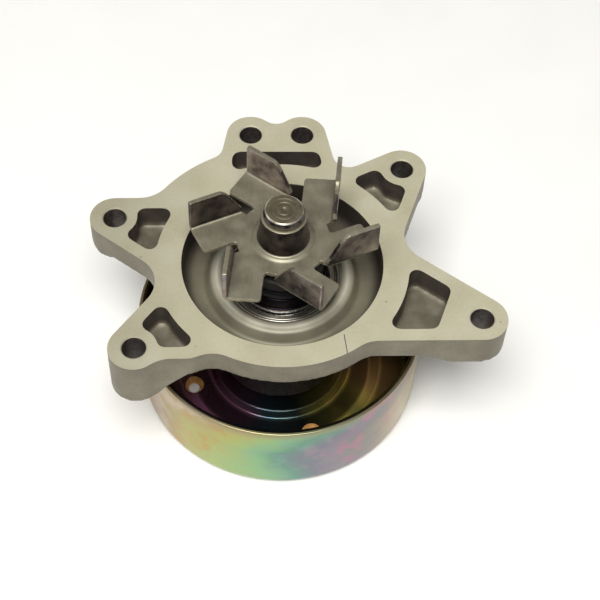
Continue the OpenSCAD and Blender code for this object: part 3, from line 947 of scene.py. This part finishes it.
# %% [markdown]
# ## Casting the blank
#
# The blank is the model's housing with every machined hole filled and the gasket face
# standing 1.5 mm proud, as a real casting arrives with metal to be milled off. The filled
# shapes overlap, and a voxel skin of 0.6 mm squares merges them. Smoothing that skin
# gives each cast edge and inner corner its natural radius.

# %% Cast blank
bm = bmesh.new()
bm.from_mesh(housing.data)
bmesh.ops.scale(bm, vec=(1 / MM, 1 / MM, 1 / MM), verts=bm.verts)
blank = new_object("cast_housing", bm, cast_skin)
blank.data.materials.clear()
blank.data.materials.append(cast_skin)

upper = new_object("upper", prism(outline, -1.2, 1.5))
for loop in pockets:
    combine(upper, new_object("core", prism(loop, -3, 3)))
wide, narrow = chamber_r + 0.4, 18.8
filling = lathe([(0, 1.5), (wide, 1.5), (wide, -9), (narrow, -9), (narrow, nose_z), (0, nose_z)])
filled = new_object("filled", filling)
plugs = bmesh.new()
for x, y, r, depth in bolts:
    prism(circle(x, y, r + 1), -depth, 1.5, plugs)
plugged = new_object("plugged", plugs)

gathered = bmesh.new()
for piece in (blank, upper, filled, plugged):
    gathered.from_mesh(piece.data)
for piece in (upper, filled, plugged):
    bpy.data.objects.remove(piece)
gathered.to_mesh(blank.data)
gathered.free()
for polygon in blank.data.polygons:
    polygon.material_index = 0
soften(blank, 0.6, 7)
print("blank has", len(blank.data.polygons), "faces")

# %% [markdown]
# ## Machining the blank
#
# The gasket face is milled flat, the chamber, the seal's seat and the bearing's bore are
# turned in one setting, and the six bolt holes are drilled and lightly countersunk. Each
# cut is a boolean with a solid cutter, so its edges stay crisp beside the soft cast skin.

# %% Turned bore of the chamber, the seal and the bearing
sleeve_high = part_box("bearing_sleeve")[1]
sleeve_r = sleeve_high.x / MM
sleeve_top = sleeve_high.z / MM
lip_r = sleeve_r + 4.9
recess_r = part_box("seal_case")[1].x / MM + 0.1
seal_r = sleeve_r + 0.1
bore = rounded(
    [
        (0, 4, 0),
        (chamber_r + 0.45, 4, 0),
        (chamber_r + 0.45, 0.25, 0),
        (chamber_r, -0.2, 0.1),
        (chamber_r, -9.4, 4.2),
        (lip_r + 3.6, -9.4, 1.6),
        (lip_r + 1.7, -5.9, 1.6),
        (recess_r, -5.9, 1.2),
        (recess_r, -9, 0.2),
        (seal_r, -9, 0.2),
        (seal_r, -15.5, 0.2),
        (sleeve_r - 1.9, -15.5, 0.2),
        (sleeve_r - 1.9, sleeve_top, 0),
        (sleeve_r, sleeve_top, 0),
        (sleeve_r, nose_z + 0.6, 0),
        (sleeve_r + 0.7, nose_z - 0.2, 0),
        (sleeve_r + 0.7, nose_z - 2, 0),
        (0, nose_z - 2, 0),
    ],
    steps=8,
)
combine(blank, new_object("bore", lathe(bore, steps=192)))

# %% Milled face, bolt holes, weep hole and a setting-out line
mill = prism([(-80, -60), (80, -60), (80, 80), (-80, 80)], 0, 6)
combine(blank, new_object("mill", mill))
for x, y, r, depth in bolts:
    drill = lathe([(0, 1), (r + 1.35, 1), (r + 0.05, -0.35), (r, -0.4), (r, -depth - 2), (0, -depth - 2)], 64)
    bmesh.ops.translate(drill, vec=(x, y, 0), verts=drill.verts)
    combine(blank, new_object("drill", drill))
weep = lathe([(0, 0), (1.4, 0), (1.4, 45), (0, 45)], 32)
bmesh.ops.rotate(weep, matrix=Matrix.Rotation(math.radians(90), 3, "X"), verts=weep.verts)
bmesh.ops.translate(weep, vec=(0, -sleeve_r + 3, sleeve_top + 1.5), verts=weep.verts)
combine(blank, new_object("weep", weep))
scribe = prism([(17.2, -26.2), (17.5, -26.2), (18.3, -33.6), (18.0, -33.6)], -0.12, 1)
combine(blank, new_object("scribe", scribe))
print("machined housing has", len(blank.data.polygons), "faces")

# %% [markdown]
# ## Which face is cast and which is cut
#
# The finish of each face follows from where it lies: the milled plane is at height zero,
# the turned faces lie on the bore's profile, the drilled ones round a bolt's axis and are drawn dark
# as painted shade, and the pocket faces, with painted shade, look into a pocket. The bearing's nose
# takes the same dark painted shade as the holes.

# %% Give the cut faces their finishes
blank.data.materials.append(milled)
blank.data.materials.append(turned_chamber)
blank.data.materials.append(hole_and_nose_painted_shade)
blank.data.materials.append(pocket_painted_shade)


def inside(loop, x, y):
    """Whether a point lies in a loop, by counting the edges to its right."""
    hits = 0
    for (ax, ay), (bx, by) in zip(loop, loop[1:] + loop[:1]):
        if (ay > y) != (by > y) and x < ax + (y - ay) / (by - ay) * (bx - ax):
            hits += 1
    return hits % 2 == 1


spans = []
for loop in pockets:
    xs, ys = [p[0] for p in loop], [p[1] for p in loop]
    spans.append((min(xs), max(xs), min(ys), max(ys)))
counts = [0] * 5
for polygon in blank.data.polygons:
    x, y, z = (v / MM for v in polygon.center)
    r = math.hypot(x, y)
    kind = 0
    if abs(z) < 0.002 and polygon.normal.z > 0.99:
        kind = 1
    elif r < chamber_r + 0.6 and z > -9.45:
        kind = 2
    elif r < sleeve_r + 0.3:
        kind = 2
    # the bearing's nose takes the dark finish of the holes: painted shade
    elif r < lip_r + 4 and z < -16:
        kind = 3
    elif any(math.hypot(x - b[0], y - b[1]) < b[2] + 0.05 for b in bolts):
        kind = 3
    elif z > -0.6 and any(math.hypot(x - b[0], y - b[1]) < b[2] + 0.7 for b in bolts):
        kind = 1
    elif z > -9:
        # a pocket's wall looks into the pocket, so one step along its normal is inside
        u, v = x + polygon.normal.x, y + polygon.normal.y
        for (x0, x1, y0, y1), loop in zip(spans, pockets):
            if x0 < u < x1 and y0 < v < y1 and inside(loop, u, v):
                kind = 4
    polygon.material_index = kind
    counts[kind] += 1
print("finishes in order", [m.name for m in blank.data.materials])
smooth_by_angle(blank, 28)
finish_piece(blank, "housing", "cast_aluminium", "pump_housing")
print("cast, milled, turned, drilled and stained faces:", counts)

# %% [markdown]
# ## Impeller
#
# The impeller is blanked from 1.4 mm sheet, its blades are folded up and its neck is
# drawn to grip the shaft. Here the flat arms, the folded strips and the neck are made as
# overlapping shells. A fine voxel skin joins them and gives sheared edges their small
# radius. The small notches at the folds are where the press tool relieves the bend.

# %% Impeller sizes
low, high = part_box("impeller")
sheet = 1.4
plate_z = low.z / MM + sheet
blade_top = plate_z + 11
shaft_low, shaft_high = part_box("shaft")
spindle_r = 6.0
shaft_top = shaft_high.z / MM
neck_top = shaft_top - 2.8
tip = Vector((chamber_r - 2.8, 0))
along = Vector((-math.cos(math.radians(30)), -math.sin(math.radians(30))))
side = Vector((-math.sin(math.radians(30)), math.cos(math.radians(30))))
phase = -6.8
print("plate at %.1f, blades to %.1f, neck to %.1f" % (plate_z, blade_top, neck_top))


# %% Flat arms with rounded corners
def arm_loop():
    """One arm from just past its fold to its free edge, with rounded outer corners."""
    start = tip + side * 0.6
    corners = [
        (*start, 0.2),
        (*(tip + side * 9.5 + along * 0.4), 1.1),
        (*(tip + side * 9.5 + along * 9.3), 1.5),
        (4, 4, 0),
        (0, 0, 0),
        (*(tip + side * 0.6 + along * 16.6), 0.3),
    ]
    return [tuple(p) for p in rounded(corners, 6)]


def blade_height(s):
    """Height of a blade above the plate, at a distance along its fold from the tip."""
    rise = blade_top - plate_z
    if s < 9.8:
        return rise - 0.5 * max(0.0, 0.7 - s) ** 2
    t = (s - 9.8) / 6.6
    return rise * (1 - t) + 1.2 * t + 1.9 * math.sin(math.pi * min(1.0, t * 1.15)) * (1 - t)


def folded_strip(bm, turn):
    """One bend and blade: the sheet's section carried along the fold."""
    outer = sheet + 0.7
    base = plate_z - sheet
    rings = []
    stations = [0, 0.25, 0.6, 1.2, 3, 5, 7, 8.8, 9.8, 10.3, 10.9, 11.6, 12.4, 13.4, 14.4, 15.4, 16.4]
    for s in stations:
        top = plate_z + blade_height(s)
        section = [(3.2, base)]
        for k in range(7):
            a = math.radians(-90 - 15 * k)
            section.append((outer + outer * math.cos(a), base + outer + outer * math.sin(a)))
        section.append((0, max(top, base + outer + 0.05)))
        section.append((sheet, max(top, base + outer + 0.05)))
        for k in range(7):
            a = math.radians(-180 + 15 * k)
            r = outer - sheet
            section.append((outer + r * math.cos(a), base + outer + r * math.sin(a)))
        section.append((3.2, plate_z))
        ring = []
        for u, z in section:
            p = tip + along * s + side * (u - sheet)
            ring.append(bm.verts.new((*(turn @ p), z)))
        rings.append(ring)
    for a, b in zip(rings, rings[1:]):
        for i in range(len(a)):
            j = (i + 1) % len(a)
            bm.faces.new((a[i], a[j], b[j], b[i]))
    bm.faces.new(rings[0])
    bm.faces.new(rings[-1][::-1])


# %% Build the impeller
sheet_metal = bmesh.new()
for k in range(6):
    turn = Matrix.Rotation(math.radians(phase + 60 * k), 2)
    folded_strip(sheet_metal, turn)
    prism([tuple(turn @ Vector(p)) for p in arm_loop()], plate_z - sheet, plate_z, sheet_metal)
prism(circle(0, 0, 13.7, 96), plate_z - sheet, plate_z, sheet_metal)
neck = rounded(
    [
        (spindle_r - 1.5, plate_z - sheet, 0),
        (spindle_r + 3.4, plate_z - sheet, 0.2),
        (spindle_r + 3.4, plate_z + 0.05, 0.1),
        (spindle_r + 2.6, plate_z + 0.45, 0.3),
        (spindle_r + 1.65, plate_z + 0.5, 0.6),
        (spindle_r + 1.05, plate_z + 5, 3),
        (spindle_r + 0.75, neck_top, 0.35),
        (spindle_r - 1.5, neck_top, 0),
    ]
)
turned = lathe(neck, 96)
neck_part = new_object("neck_part", turned)
impeller = new_object("pressed_impeller", sheet_metal, pressed_steel)
gathered = bmesh.new()
gathered.from_mesh(impeller.data)
gathered.from_mesh(neck_part.data)
gathered.to_mesh(impeller.data)
gathered.free()
bpy.data.objects.remove(neck_part)
soften(impeller, 0.22, 3)

for k in range(6):
    turn = Matrix.Rotation(math.radians(phase + 60 * k), 2)
    spot = turn @ (tip + along * 16.9 - side * 0.5)
    notch = prism(circle(spot.x, spot.y, 1.15, 32), plate_z - 3, plate_z + 1.2)
    combine(impeller, new_object("notch", notch))
hole = lathe([(0, neck_top + 2), (spindle_r, neck_top + 2), (spindle_r, plate_z - 4), (0, plate_z - 4)], 96)
combine(impeller, new_object("hole", hole))
for r, w, d in ((13.25, 0.22, 0.1), (10.3, 0.2, 0.05)):
    base, mouth = plate_z - d, plate_z + 0.3
    groove = lathe([(r - w, base), (r + w, base), (r + w + 0.1, mouth), (r - w - 0.1, mouth)], 128)
    combine(impeller, new_object("groove", groove))
impeller.data.materials.append(burnished_painted_shade)
for polygon in impeller.data.polygons:
    x, y, z = (v / MM for v in polygon.center)
    # upright faces take the burnished steel, drawn darker as painted shade
    upright = abs(polygon.normal.z) < 0.5 and z > plate_z + 0.4
    polygon.material_index = 1 if upright else 0
smooth_by_angle(impeller, 40)
finish_piece(impeller, "rotor", "pressed_steel", "impeller")

# %% [markdown]
# ## Shaft
#
# One steel shaft carries the impeller at its thin end, the bearing's races on its thick
# part and the pulley's hub at the bottom. Its end face keeps the rings that the lathe
# left, with a small centre mark. A turned part is a lathe profile and nothing else.

# %% Shaft
shaft_bottom = shaft_low.z / MM
journal_r = shaft_high.x / MM
step_z = sleeve_top + 0.2
ball_z = (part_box("rear_balls")[0].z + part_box("rear_balls")[1].z) / 2 / MM
end = shaft_top
face = [
    (0, end - 0.35, 0),
    (0.5, end - 0.3, 0.1),
    (0.9, end - 0.05, 0.1),
    (1.9, end - 0.02, 0.05),
    (2.1, end - 0.16, 0.05),
    (2.45, end - 0.16, 0.05),
    (2.65, end - 0.03, 0.05),
    (3.5, end - 0.03, 0.05),
    (3.62, end - 0.1, 0.03),
    (3.8, end - 0.1, 0.03),
    (3.92, end, 0.05),
    (spindle_r - 0.8, end, 0.06),
    (spindle_r - 0.4, end - 0.38, 0.06),
    (spindle_r, end - 1.3, 0.2),
]
body = [
    (spindle_r, step_z, 0.3),
    (journal_r - 0.8, step_z, 0.1),
    (journal_r, step_z - 0.8, 0.1),
]
groove = []
for k in range(9):
    a = math.radians(120 + 15 * k)
    r = 10.45 + 3.21 * math.cos(a)
    if r < journal_r:
        groove.append((r, ball_z + 3.21 * math.sin(a), 0))
foot = [
    (journal_r, shaft_bottom + 0.8, 0.1),
    (journal_r - 0.8, shaft_bottom, 0.1),
    (2.6, shaft_bottom, 0.05),
    (0.7, shaft_bottom + 2.4, 0.1),
    (0, shaft_bottom + 2.4, 0),
]
shaft = new_object("turned_shaft", lathe(rounded(face + body + groove + foot, 3), 128), shaft_steel)
shaft.data.materials.append(bright["polished_edge_painted_highlight"])
shaft.data.materials.append(burnished_painted_shade)
for polygon in shaft.data.polygons:
    x, y, z = (v / MM for v in polygon.center)
    # the bright polished finish on the chamfer is a painted highlight
    chamfer = math.hypot(x, y) > spindle_r - 0.84 and end - 0.42 < z < end - 0.02
    # the upright side above the plate takes the burnished steel's painted shade
    shoulder = polygon.normal.z < 0.5 and z > plate_z
    polygon.material_index = 1 if chamfer and polygon.normal.z > 0.3 else 2 if shoulder else 0
smooth_by_angle(shaft, 25)
finish_piece(shaft, "rotor", "shaft_steel", "shaft")

# %% [markdown]
# ## Pulley and hub
#
# The pulley is one blank of 2 mm steel, drawn to a cup. Its web steps up in the middle
# and has four round holes. The belt runs on the smooth band outside. The plating is a
# different colour outside and inside, so the faces are sorted by where they look. The holes
# are drawn narrower below than the solid model's plain ones.

# %% Pulley
low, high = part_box("pulley")
rim, bottom, lip = high.x / MM, low.z / MM, high.z / MM
wall, floor_in, raised = 2.0, bottom + 2.0, bottom + 5.3
section = rounded(
    [
        (journal_r + 3, raised, 0.3),
        (journal_r + 3, raised - wall, 0.3),
        (20.2, raised - wall, 2.2),
        (21.1, bottom + 0.8, 1.2),
        (29.8, bottom + 0.8, 2.5),
        (32.8, bottom, 2.5),
        (rim, bottom, 3.0),
        (rim, lip, 0.45),
        (rim - 0.9, lip, 0),
        (rim - wall, lip, 0.5),
        (rim - wall, floor_in, 2.4),
        (32.8, floor_in, 2.5),
        (29.8, floor_in + 0.8, 2.5),
        (22.6, floor_in + 0.8, 0.9),
        (21.7, raised, 1.3),
    ],
    6,
)
hole_at, hole_angle, hole_r = 29.5, 19.6, 3.2
pulley = new_object("drawn_pulley", lathe(section, 256), zinc_plate, zinc_inside, hole_wall_painted_light)
for k in range(4):
    a = math.radians(hole_angle + 90 * k)
    x, y = hole_at * math.cos(a), hole_at * math.sin(a)
    cone = [
        (0, bottom - 1),
        (1.8, bottom - 1),
        (1.8, bottom + 0.9),
        (hole_r - 0.2, floor_in + 0.5),
        (hole_r, floor_in + 0.85),
        (hole_r, floor_in + 1.5),
        (0, floor_in + 1.5),
    ]
    punch = lathe(cone, 48)
    bmesh.ops.translate(punch, vec=(x, y, 0), verts=punch.verts)
    combine(pulley, new_object("punch", punch))
for polygon in pulley.data.polygons:
    x, y, z = (v / MM for v in polygon.center)
    r = math.hypot(x, y)
    looks_in = r < rim - 0.9 and z > bottom + 0.4 and (
        polygon.normal.z > 0.2 or polygon.normal.x * x + polygon.normal.y * y < 0
    )
    nearest = round((math.degrees(math.atan2(y, x)) - hole_angle) / 90)
    turn = math.radians(hole_angle + 90 * nearest)
    in_hole = math.hypot(x - hole_at * math.cos(turn), y - hole_at * math.sin(turn)) < hole_r - 0.02
    # the hole walls take the amber painted light
    sheared = in_hole and z > bottom + 0.1 and polygon.normal.z < 0.9
    polygon.material_index = 2 if sheared else 1 if looks_in else 0
smooth_by_angle(pulley, 30)
finish_piece(pulley, "rotor", "yellow_zinc_steel", "pulley")

# %% Hub
low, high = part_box("pulley_hub")
hub_top, hub_bottom = high.z / MM, low.z / MM
hub = new_object(
    "turned_hub",
    lathe(
        rounded(
            [
                (journal_r, hub_top, 0.3),
                (journal_r, hub_bottom, 0.3),
                (journal_r + 3, hub_bottom, 0.4),
                (journal_r + 3, raised, 0.05),
                (journal_r + 6.5, raised, 0.1),
                (journal_r + 6.5, raised + 1.6, 0.4),
                (journal_r + 3, raised + 1.6, 0.5),
                (journal_r + 3, hub_top, 0.4),
            ],
            4,
        ),
        128,
    ),
    shaft_steel,
)
smooth_by_angle(hub, 30)
finish_piece(hub, "rotor", "shaft_steel", "pulley_hub")

# %% [markdown]
# ## Seal stampings and spring
#
# Two stamped rings show inside the lip: the seal's case, folded from thin stainless
# sheet, and the shell that holds its rubber head. The spring between them is round wire
# wound in three and a half turns. It sits deep in the case, so it is a curve with a round
# bevel, which is lighter than a solid sweep.

# %% Stamped case and head shell
low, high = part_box("seal_case")
rim_r, rim_z, foot = high.x / MM, high.z / MM, low.z / MM
case = rounded(
    [
        (9.5, foot + 0.8, 0.1),
        (9.5, foot, 0.2),
        (seal_r, foot, 0.6),
        (seal_r, -9, 0.05),
        (rim_r, -9, 0.3),
        (rim_r, rim_z, 0.3),
        (rim_r - 0.7, rim_z, 0.3),
        (rim_r - 0.7, -8.2, 0.25),
        (seal_r + 0.9, -8.2, 0.25),
        (seal_r + 0.9, -7.5, 0.3),
        (seal_r - 0.8, -7.5, 0.35),
        (seal_r - 0.8, foot + 0.8, 0.5),
    ],
    4,
)
seal_case = new_object("stamped_seal_case", lathe(case, 128), bright["stainless_stamping"])
smooth_by_angle(seal_case, 30)
finish_piece(seal_case, "housing", "stainless_steel", "seal_case")

low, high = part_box("seal_head_shell")
foot, top, outer = low.z / MM, high.z / MM, high.x / MM
shell = rounded(
    [
        (outer - 1.4, foot, 0.05),
        (outer, foot, 0.25),
        (outer, foot + 0.6, 0.25),
        (outer - 0.8, foot + 0.6, 0.5),
        (outer - 0.8, top, 0.25),
        (outer - 1.4, top, 0.2),
    ],
    4,
)
steels = (bright["stainless_stamping"], bright["blackened_steel"])
head = new_object("stamped_head_shell", lathe(shell, 128), *steels)
for polygon in head.data.polygons:
    polygon.material_index = 1 if polygon.center.z / MM > foot + 0.5 else 0
smooth_by_angle(head, 30)
finish_piece(head, "housing", "stainless_steel", "seal_head_shell")

# %% Seal spring
low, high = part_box("seal_spring")
wire = 0.5
mean_r = high.x / MM - wire
curve = bpy.data.curves.new("wound_spring", "CURVE")
curve.dimensions, curve.bevel_depth, curve.bevel_resolution = "3D", wire * MM, 3
curve.use_fill_caps = True
line = curve.splines.new("POLY")
line.points.add(139)
for i in range(140):
    t = i / 139
    a = 2 * math.pi * 3.5 * t
    z = (low.z / MM + wire) * (1 - t) + (high.z / MM - wire) * t
    line.points[i].co = (mean_r * math.cos(a) * MM, mean_r * math.sin(a) * MM, z * MM, 1)
curve.materials.append(bright["drawn_spring_wire"])
spring = bpy.data.objects.new("wound_spring", curve)
bpy.context.scene.collection.objects.link(spring)
finish_piece(spring, "housing", "spring_steel", "seal_spring")

# %% [markdown]
# ## Finishes of the remaining parts
#
# The bearing, the small rubber parts and the seal's rings have the right shape in the solid
# model already. They keep it and get their finishes here.

# %% Finish the remaining parts
finishes = {
    "seal_inner_band": bright["stainless_stamping"],
    "seat_sleeve": bright["blackened_steel"],
    "bearing_sleeve": bright["ground_bearing_steel"],
    "rear_balls": bright["ground_bearing_steel"],
    "front_rollers": bright["ground_bearing_steel"],
    "bearing_seal_rear": dark["nitrile_rubber"],
    "bearing_seal_front": dark["nitrile_rubber"],
    "slinger": dark["nitrile_rubber"],
    "seal_bellows": dark["nitrile_rubber"],
    "seat_rubber_cup": dark["nitrile_rubber"],
    "rear_ball_cage": dark["brown_polyamide"],
    "front_roller_cage": dark["brown_polyamide"],
    "seal_carbon_ring": dark["carbon_graphite"],
    "seat_ring": dark["silicon_carbide"],
}
for name, finish in finishes.items():
    part = frame["nodes"][name]
    for place_in in part.material_slots:
        place_in.material = finish
print("finished", len(finishes), "parts of the solid model")

# %% [markdown]
# ## Close
#
# The box of the solid model is printed in millimetres.

# %% Print the model's box and close
print("model box", [[round(c / MM, 2) for c in v] for v in cad_box])
